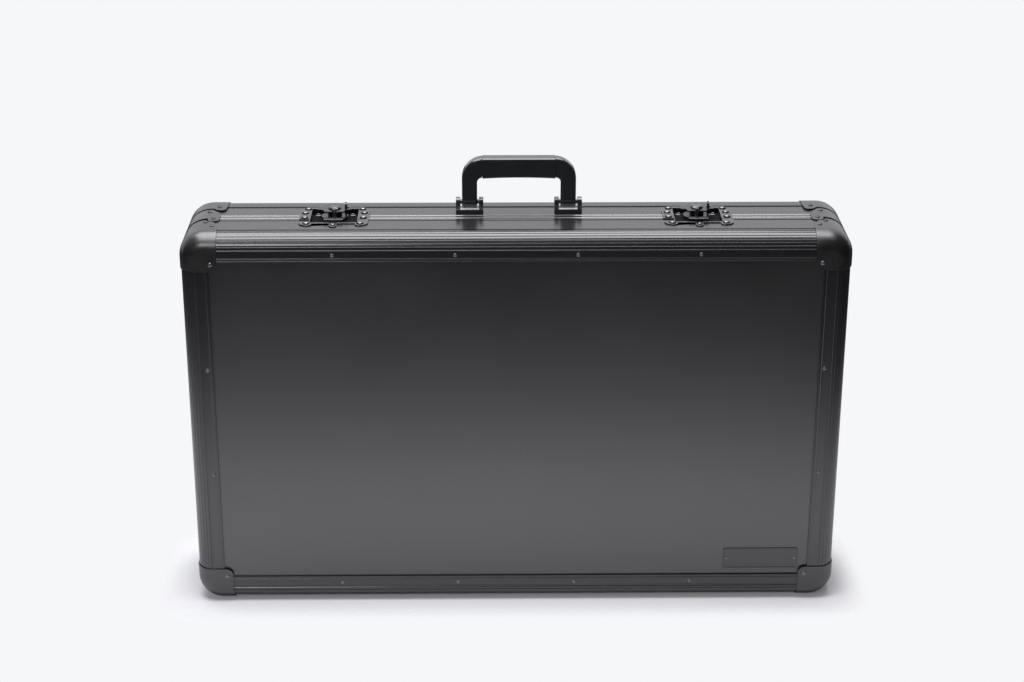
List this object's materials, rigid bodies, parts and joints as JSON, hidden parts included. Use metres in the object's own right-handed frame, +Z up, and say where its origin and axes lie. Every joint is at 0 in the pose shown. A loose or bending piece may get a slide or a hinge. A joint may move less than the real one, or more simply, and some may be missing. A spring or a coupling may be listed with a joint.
{
  "type": "dj controller case",
  "caption": "Hard flight case for a flat controller: ribbed metal edges, corner caps, butterfly latches, a folding handle and a hinged lid, shown standing on its hinge edge.",
  "frame": {"origin": "middle of the footprint on the floor, with the case standing on its hinge edge", "axes": "+X to the right of the case seen from its lid, +Y from the lid to the back of the base, +Z up to the handle"},
  "size_m": [0.7646, 0.1412, 0.5313],
  "materials": {
    "extrusion": "black anodised extrusion, satin, ribbed",
    "panel": "black laminated board with a fine sheen",
    "pressing": "black plated steel pressing, half gloss",
    "latch": "black nickel plated steel, glossy",
    "steel": "bright zinc plated steel",
    "handle": "black moulded plastic, glossy",
    "grip": "black moulded grip sleeve, soft sheen",
    "foam": "dark grey closed-cell foam lining",
    "rubber": "black rubber foot"
  },
  "bodies": {
    "base": {"base_panel": "panel", "base_frame_top": "extrusion", "base_frame_bottom": "extrusion", "base_frame_left": "extrusion", "base_frame_right": "extrusion", "base_corner_cap_top_left": "pressing", "base_corner_cap_top_right": "pressing", "base_corner_cap_bottom_left": "pressing", "base_corner_cap_bottom_right": "pressing", "base_corner_brace_top_left": "pressing", "base_corner_brace_top_right": "pressing", "base_corner_brace_bottom_left": "pressing", "base_corner_brace_bottom_right": "pressing", "base_floor_foam": "foam", "base_side_foam_top": "foam", "base_side_foam_bottom": "foam", "base_side_foam_left": "foam", "base_side_foam_right": "foam", "latch_dish_left": "latch", "latch_dish_right": "latch", "handle_bracket_left": "handle", "handle_bracket_right": "handle", "handle_pin_left": "steel", "handle_pin_right": "steel", "base_hinge_leaf_left": "steel", "base_hinge_leaf_right": "steel", "hinge_pin_left": "steel", "hinge_pin_right": "steel", "rubber_foot_top_left": "rubber", "rubber_foot_top_right": "rubber", "rubber_foot_bottom_left": "rubber", "rubber_foot_bottom_right": "rubber"},
    "lid": {"lid_panel": "panel", "lid_frame_top": "extrusion", "lid_frame_bottom": "extrusion", "lid_frame_left": "extrusion", "lid_frame_right": "extrusion", "lid_corner_cap_top_left": "pressing", "lid_corner_cap_top_right": "pressing", "lid_corner_cap_bottom_left": "pressing", "lid_corner_cap_bottom_right": "pressing", "lid_foam": "foam", "lid_catch_dish_left": "latch", "lid_catch_dish_right": "latch", "lid_keeper_left": "latch", "lid_keeper_right": "latch", "lid_hinge_leaf_left": "steel", "lid_hinge_leaf_right": "steel"},
    "handle": {"handle_bow": "handle", "handle_grip": "grip"},
    "rotor_left": {"latch_rotor_left": "latch", "latch_wing_pin_left": "steel"},
    "hook_left": {"latch_hook_left": "latch"},
    "left_latch_left_wing": {"latch_left_wing_left": "latch"},
    "left_latch_right_wing": {"latch_left_wing_right": "latch"},
    "rotor_right": {"latch_rotor_right": "latch", "latch_wing_pin_right": "steel"},
    "hook_right": {"latch_hook_right": "latch"},
    "right_latch_left_wing": {"latch_right_wing_left": "latch"},
    "right_latch_right_wing": {"latch_right_wing_right": "latch"}
  },
  "joints": [
    {"name": "lid_hinge", "type": "hinge", "parent": "base", "child": "lid", "pos_m": [0, -0.01385, 0.0031], "axis": [1, 0, 0], "range_deg": [0, 105]},
    {"name": "handle_fold", "type": "hinge", "parent": "base", "child": "handle", "pos_m": [0.0035, 0.01565, 0.4776], "axis": [1, 0, 0], "range_deg": [-80, 80]},
    {"name": "latch_turn_left", "type": "hinge", "parent": "base", "child": "rotor_left", "pos_m": [-0.209, 0.00665, 0.4653], "axis": [0, 0, 1], "range_deg": [0, 180]},
    {"name": "latch_hook_left", "type": "slide", "parent": "base", "child": "hook_left", "axis": [0, -1, 0], "range_m": [0, 0.006]},
    {"name": "latch_left_left_wing_lift", "type": "hinge", "parent": "rotor_left", "child": "left_latch_left_wing", "pos_m": [-0.209, 0.00665, 0.4728], "axis": [0, 1, 0], "range_deg": [0, 85]},
    {"name": "latch_left_right_wing_lift", "type": "hinge", "parent": "rotor_left", "child": "left_latch_right_wing", "pos_m": [-0.209, 0.00665, 0.4728], "axis": [0, -1, 0], "range_deg": [0, 85]},
    {"name": "latch_turn_right", "type": "hinge", "parent": "base", "child": "rotor_right", "pos_m": [0.209, 0.00665, 0.4653], "axis": [0, 0, 1], "range_deg": [0, 180]},
    {"name": "latch_hook_right", "type": "slide", "parent": "base", "child": "hook_right", "axis": [0, -1, 0], "range_m": [0, 0.006]},
    {"name": "latch_right_left_wing_lift", "type": "hinge", "parent": "rotor_right", "child": "right_latch_left_wing", "pos_m": [0.209, 0.00665, 0.4728], "axis": [0, 1, 0], "range_deg": [0, 85]},
    {"name": "latch_right_right_wing_lift", "type": "hinge", "parent": "rotor_right", "child": "right_latch_right_wing", "pos_m": [0.209, 0.00665, 0.4728], "axis": [0, -1, 0], "range_deg": [0, 85]}
  ],
  "couplings": [
    {"joint": "latch_hook_left", "follows": "latch_turn_left", "m_per_rad": 0.0019098},
    {"joint": "latch_hook_right", "follows": "latch_turn_right", "m_per_rad": 0.0019098}
  ]
}
